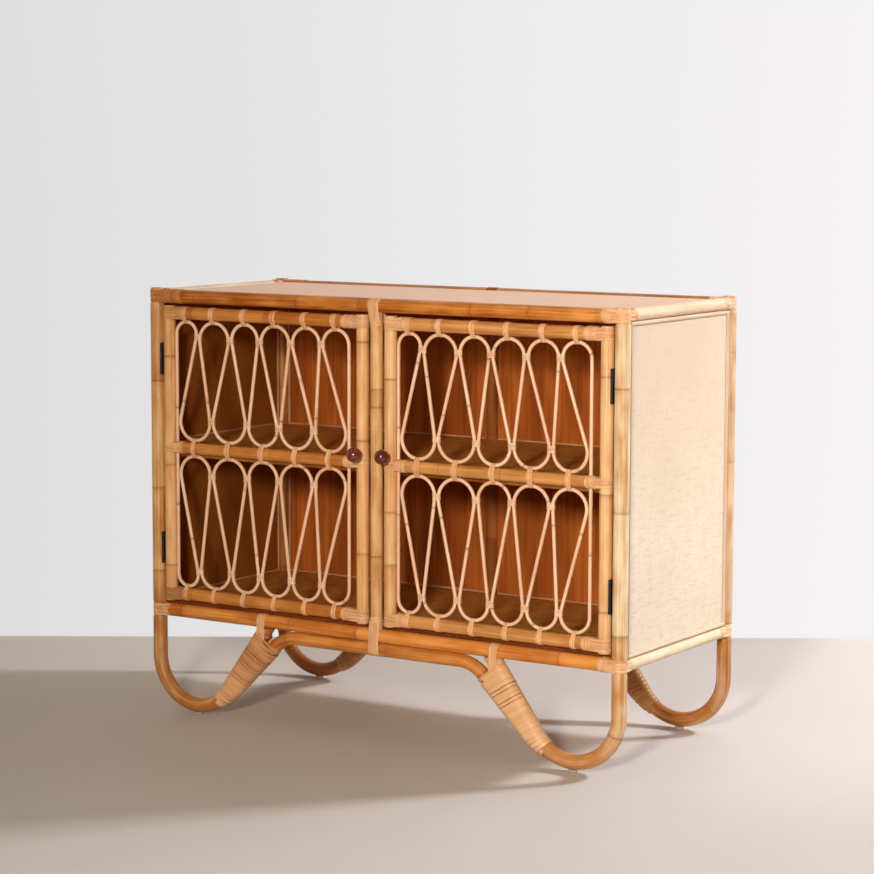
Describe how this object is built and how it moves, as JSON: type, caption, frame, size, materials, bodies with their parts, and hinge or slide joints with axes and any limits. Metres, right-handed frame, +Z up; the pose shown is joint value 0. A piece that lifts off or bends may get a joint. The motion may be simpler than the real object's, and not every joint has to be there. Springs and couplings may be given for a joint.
{
  "type": "rattan cabinet with two lattice doors",
  "caption": "Rattan cabinet for records or media: two hinged lattice doors, woven sides, inner shelf and turned knobs, on looped pole legs bound to arches under the frame.",
  "frame": {"origin": "centre of the bounding box at floor level, where the foot glides stand on Z = 0", "axes": "+X to the right seen from the front and along the long side, +Y from the doors towards the back, +Z up"},
  "size_m": [1.125, 0.5006, 0.885],
  "materials": {
    "rattan_pole": "honey rattan pole with darker nodes, satin lacquer",
    "rattan_rod": "pale core rattan rod, smooth satin",
    "peel_binding": "flat split rattan peel, slightly glossy",
    "woven_panel": "fine plain weave of split rattan on board, matte",
    "woven_top": "woven split rattan on board, satin",
    "back_board": "stained wood boards, satin",
    "woven_shelf": "woven split rattan on board, matte",
    "knob_wood": "dark turned wood, glossy lacquer",
    "hinge_metal": "black painted steel",
    "glide": "plain brown plastic glide"
  },
  "bodies": {
    "cabinet": {"leg_front_left": "rattan_pole", "leg_winding_front_left": "peel_binding", "foot_glide_front_left": "glide", "leg_front_right": "rattan_pole", "leg_winding_front_right": "peel_binding", "foot_glide_front_right": "glide", "arch_front": "rattan_pole", "top_rail_front": "rattan_pole", "bottom_rail_front": "rattan_pole", "shelf_rail_front": "rattan_pole", "leg_back_left": "rattan_pole", "leg_winding_back_left": "peel_binding", "foot_glide_back_left": "glide", "leg_back_right": "rattan_pole", "leg_winding_back_right": "peel_binding", "foot_glide_back_right": "glide", "arch_back": "rattan_pole", "top_rail_back": "rattan_pole", "bottom_rail_back": "rattan_pole", "shelf_rail_back": "rattan_pole", "centre_post_front": "rattan_pole", "centre_post_back": "rattan_pole", "top_panel": "woven_top", "floor_panel": "woven_shelf", "shelf_panel": "woven_shelf", "top_rail_left": "rattan_pole", "bottom_rail_left": "rattan_pole", "side_panel_left": "woven_panel", "side_trim_left": "rattan_rod", "back_panel_left": "back_board", "hinge_post_leaf_upper_left": "hinge_metal", "hinge_post_leaf_lower_left": "hinge_metal", "top_rail_right": "rattan_pole", "bottom_rail_right": "rattan_pole", "side_panel_right": "woven_panel", "side_trim_right": "rattan_rod", "back_panel_right": "back_board", "hinge_post_leaf_upper_right": "hinge_metal", "hinge_post_leaf_lower_right": "hinge_metal"},
    "door_left": {"door_hinge_stile_left": "rattan_pole", "door_latch_stile_left": "rattan_pole", "door_top_rail_left": "rattan_pole", "door_mid_rail_left": "rattan_pole", "door_bottom_rail_left": "rattan_pole", "lattice_upper_left": "rattan_rod", "lattice_lower_left": "rattan_rod", "knob_left": "knob_wood", "hinge_door_leaf_upper_left": "hinge_metal", "hinge_door_leaf_lower_left": "hinge_metal"},
    "door_right": {"door_hinge_stile_right": "rattan_pole", "door_latch_stile_right": "rattan_pole", "door_top_rail_right": "rattan_pole", "door_mid_rail_right": "rattan_pole", "door_bottom_rail_right": "rattan_pole", "lattice_upper_right": "rattan_rod", "lattice_lower_right": "rattan_rod", "knob_right": "knob_wood", "hinge_door_leaf_upper_right": "hinge_metal", "hinge_door_leaf_lower_right": "hinge_metal"}
  },
  "joints": [
    {"name": "door_left_hinge", "type": "hinge", "parent": "cabinet", "child": "door_left", "pos_m": [-0.5305, -0.21329, 0.542], "axis": [0, 0, -1], "range_deg": [0, 110]},
    {"name": "door_right_hinge", "type": "hinge", "parent": "cabinet", "child": "door_right", "pos_m": [0.5305, -0.21329, 0.542], "axis": [0, 0, 1], "range_deg": [0, 110]}
  ]
}
